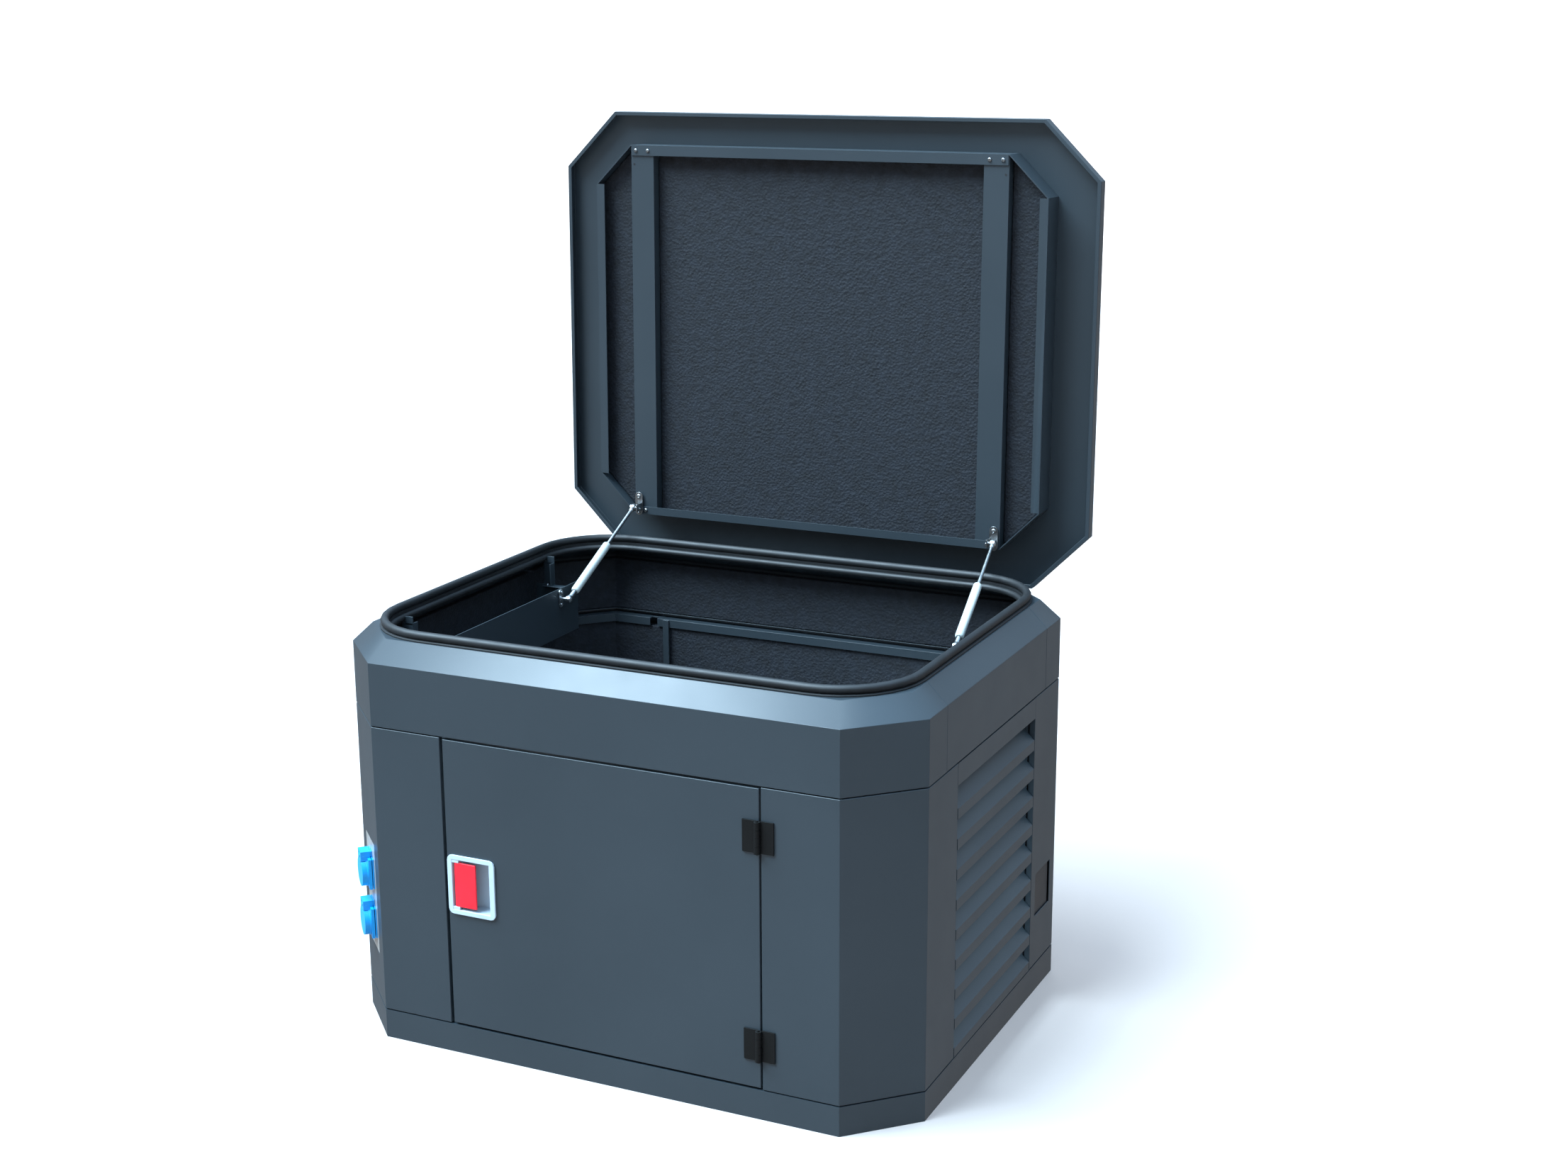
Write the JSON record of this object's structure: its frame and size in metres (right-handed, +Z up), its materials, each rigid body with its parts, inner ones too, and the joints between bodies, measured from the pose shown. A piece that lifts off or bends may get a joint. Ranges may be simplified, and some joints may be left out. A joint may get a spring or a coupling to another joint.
{
  "type": "home standby generator",
  "caption": "Standby generator in an octagonal powder-coated enclosure with a lifting lid, front door, side louvres and two covered outlets.",
  "frame": {"origin": "centre of the base's underside, on the floor", "axes": "+Z up, +X along the front from left to right, the door faces -Y, the lid's hinges are at +Y"},
  "size_m": [1.01, 0.8643, 1.4423],
  "materials": {
    "painted_sheet": "fine-texture powder coat, dark blue-grey, matte",
    "sound_foam": "pebbled black acoustic foam",
    "seal_rubber": "extruded rubber, satin",
    "galvanised_plate": "galvanised sheet, satin",
    "zinc_plate": "bright zinc plating",
    "strut_paint": "near-white gloss paint",
    "black_paint": "black satin coating",
    "black_plastic": "black moulded case",
    "grey_plastic": "light grey moulding",
    "red_plastic": "red moulding, satin",
    "blue_plastic": "bright blue moulding, satin",
    "cast_metal": "bare aluminium-grey casting"
  },
  "bodies": {
    "enclosure": {"base_tray": "painted_sheet", "front_left_panel": "painted_sheet", "front_right_panel": "painted_sheet", "rear_left_panel": "painted_sheet", "rear_right_panel": "painted_sheet", "rear_panel": "painted_sheet", "hatch_plate": "painted_sheet", "left_louvre": "painted_sheet", "right_louvre": "painted_sheet", "collar_front": "painted_sheet", "collar_rear": "painted_sheet", "collar_left": "painted_sheet", "collar_right": "painted_sheet", "inner_frame": "painted_sheet", "left_baffle": "painted_sheet", "right_baffle": "painted_sheet", "collar_foam": "sound_foam", "rear_foam": "sound_foam", "lid_seal": "seal_rubber", "outlet_plate": "galvanised_plate", "upper_outlet": "blue_plastic", "lower_outlet": "blue_plastic", "skid_frame": "black_paint", "engine": "cast_metal", "blower_housing": "black_paint", "alternator": "cast_metal", "muffler": "galvanised_plate", "battery": "black_plastic", "control_box": "grey_plastic", "gas_regulator": "cast_metal", "lower_hinge_frame_leaf": "black_paint", "upper_hinge_frame_leaf": "black_paint", "left_lid_hinge_base": "black_paint", "right_lid_hinge_base": "black_paint", "left_strut_foot": "zinc_plate", "right_strut_foot": "zinc_plate"},
    "door": {"door_panel": "painted_sheet", "door_foam": "sound_foam", "latch_frame": "grey_plastic", "lower_hinge_door_leaf": "black_paint", "upper_hinge_door_leaf": "black_paint"},
    "lid": {"lid_shell": "painted_sheet", "lid_frame": "painted_sheet", "lid_foam_centre": "sound_foam", "left_lid_rib": "painted_sheet", "left_lid_foam": "sound_foam", "left_lid_bracket": "zinc_plate", "left_lid_hinge_leaf": "black_paint", "right_lid_rib": "painted_sheet", "right_lid_foam": "sound_foam", "right_lid_bracket": "zinc_plate", "right_lid_hinge_leaf": "black_paint"},
    "paddle": {"latch_paddle": "red_plastic"},
    "bolt": {"latch_bolt": "zinc_plate"},
    "upper_cover": {"upper_outlet_lid": "blue_plastic"},
    "lower_cover": {"lower_outlet_lid": "blue_plastic"},
    "left_rod": {"left_strut_rod": "zinc_plate"},
    "left_cylinder": {"left_strut_cylinder": "strut_paint"},
    "right_rod": {"right_strut_rod": "zinc_plate"},
    "right_cylinder": {"right_strut_cylinder": "strut_paint"}
  },
  "joints": [
    {"name": "lid_hinge", "type": "hinge", "parent": "enclosure", "child": "lid", "pos_m": [0, 0.4025, 0.6468], "axis": [1, 0, 0], "range_deg": [0, 91]},
    {"name": "door_hinge", "type": "hinge", "parent": "enclosure", "child": "door", "pos_m": [0.273, -0.4015, 0.29], "axis": [0, 0, 1], "range_deg": [0, 110]},
    {"name": "paddle_hinge", "type": "hinge", "parent": "door", "child": "paddle", "pos_m": [-0.252, -0.391, 0.289], "axis": [0, 0, -1], "range_deg": [0, 35], "stiffness_Nm_per_rad": 0.02, "springref_deg": -2.86},
    {"name": "bolt_slide", "type": "slide", "parent": "door", "child": "bolt", "axis": [1, 0, 0], "range_m": [0, 0.012]},
    {"name": "upper_cover_hinge", "type": "hinge", "parent": "enclosure", "child": "upper_cover", "pos_m": [-0.46507, -0.35372, 0.2907], "axis": [-0.7071, 0.7071, 0], "range_deg": [0, 100], "stiffness_Nm_per_rad": 0.004, "springref_deg": -28.65},
    {"name": "lower_cover_hinge", "type": "hinge", "parent": "enclosure", "child": "lower_cover", "pos_m": [-0.46507, -0.35372, 0.2053], "axis": [-0.7071, 0.7071, 0], "range_deg": [0, 100], "stiffness_Nm_per_rad": 0.004, "springref_deg": -28.65},
    {"name": "left_rod_pivot", "type": "hinge", "parent": "lid", "child": "left_rod", "pos_m": [-0.351, 0.37387, 0.73111], "axis": [1, 0, 0], "range_deg": [-118.05, 0]},
    {"name": "left_strut_slide", "type": "slide", "parent": "left_rod", "child": "left_cylinder", "axis": [0.0605, 0.8624, 0.5025], "range_m": [0, 0.08874]},
    {"name": "right_rod_pivot", "type": "hinge", "parent": "lid", "child": "right_rod", "pos_m": [0.351, 0.37387, 0.73111], "axis": [1, 0, 0], "range_deg": [-118.05, 0]},
    {"name": "right_strut_slide", "type": "slide", "parent": "right_rod", "child": "right_cylinder", "axis": [-0.0605, 0.8624, 0.5025], "range_m": [0, 0.08874]}
  ],
  "couplings": [
    {"joint": "left_rod_pivot", "follows": "lid_hinge", "ratio": -1.2918},
    {"joint": "left_strut_slide", "follows": "lid_hinge", "m_per_rad": 0.05556},
    {"joint": "right_rod_pivot", "follows": "lid_hinge", "ratio": -1.2918},
    {"joint": "right_strut_slide", "follows": "lid_hinge", "m_per_rad": 0.05556},
    {"joint": "bolt_slide", "follows": "paddle_hinge", "m_per_rad": 0.019317}
  ]
}
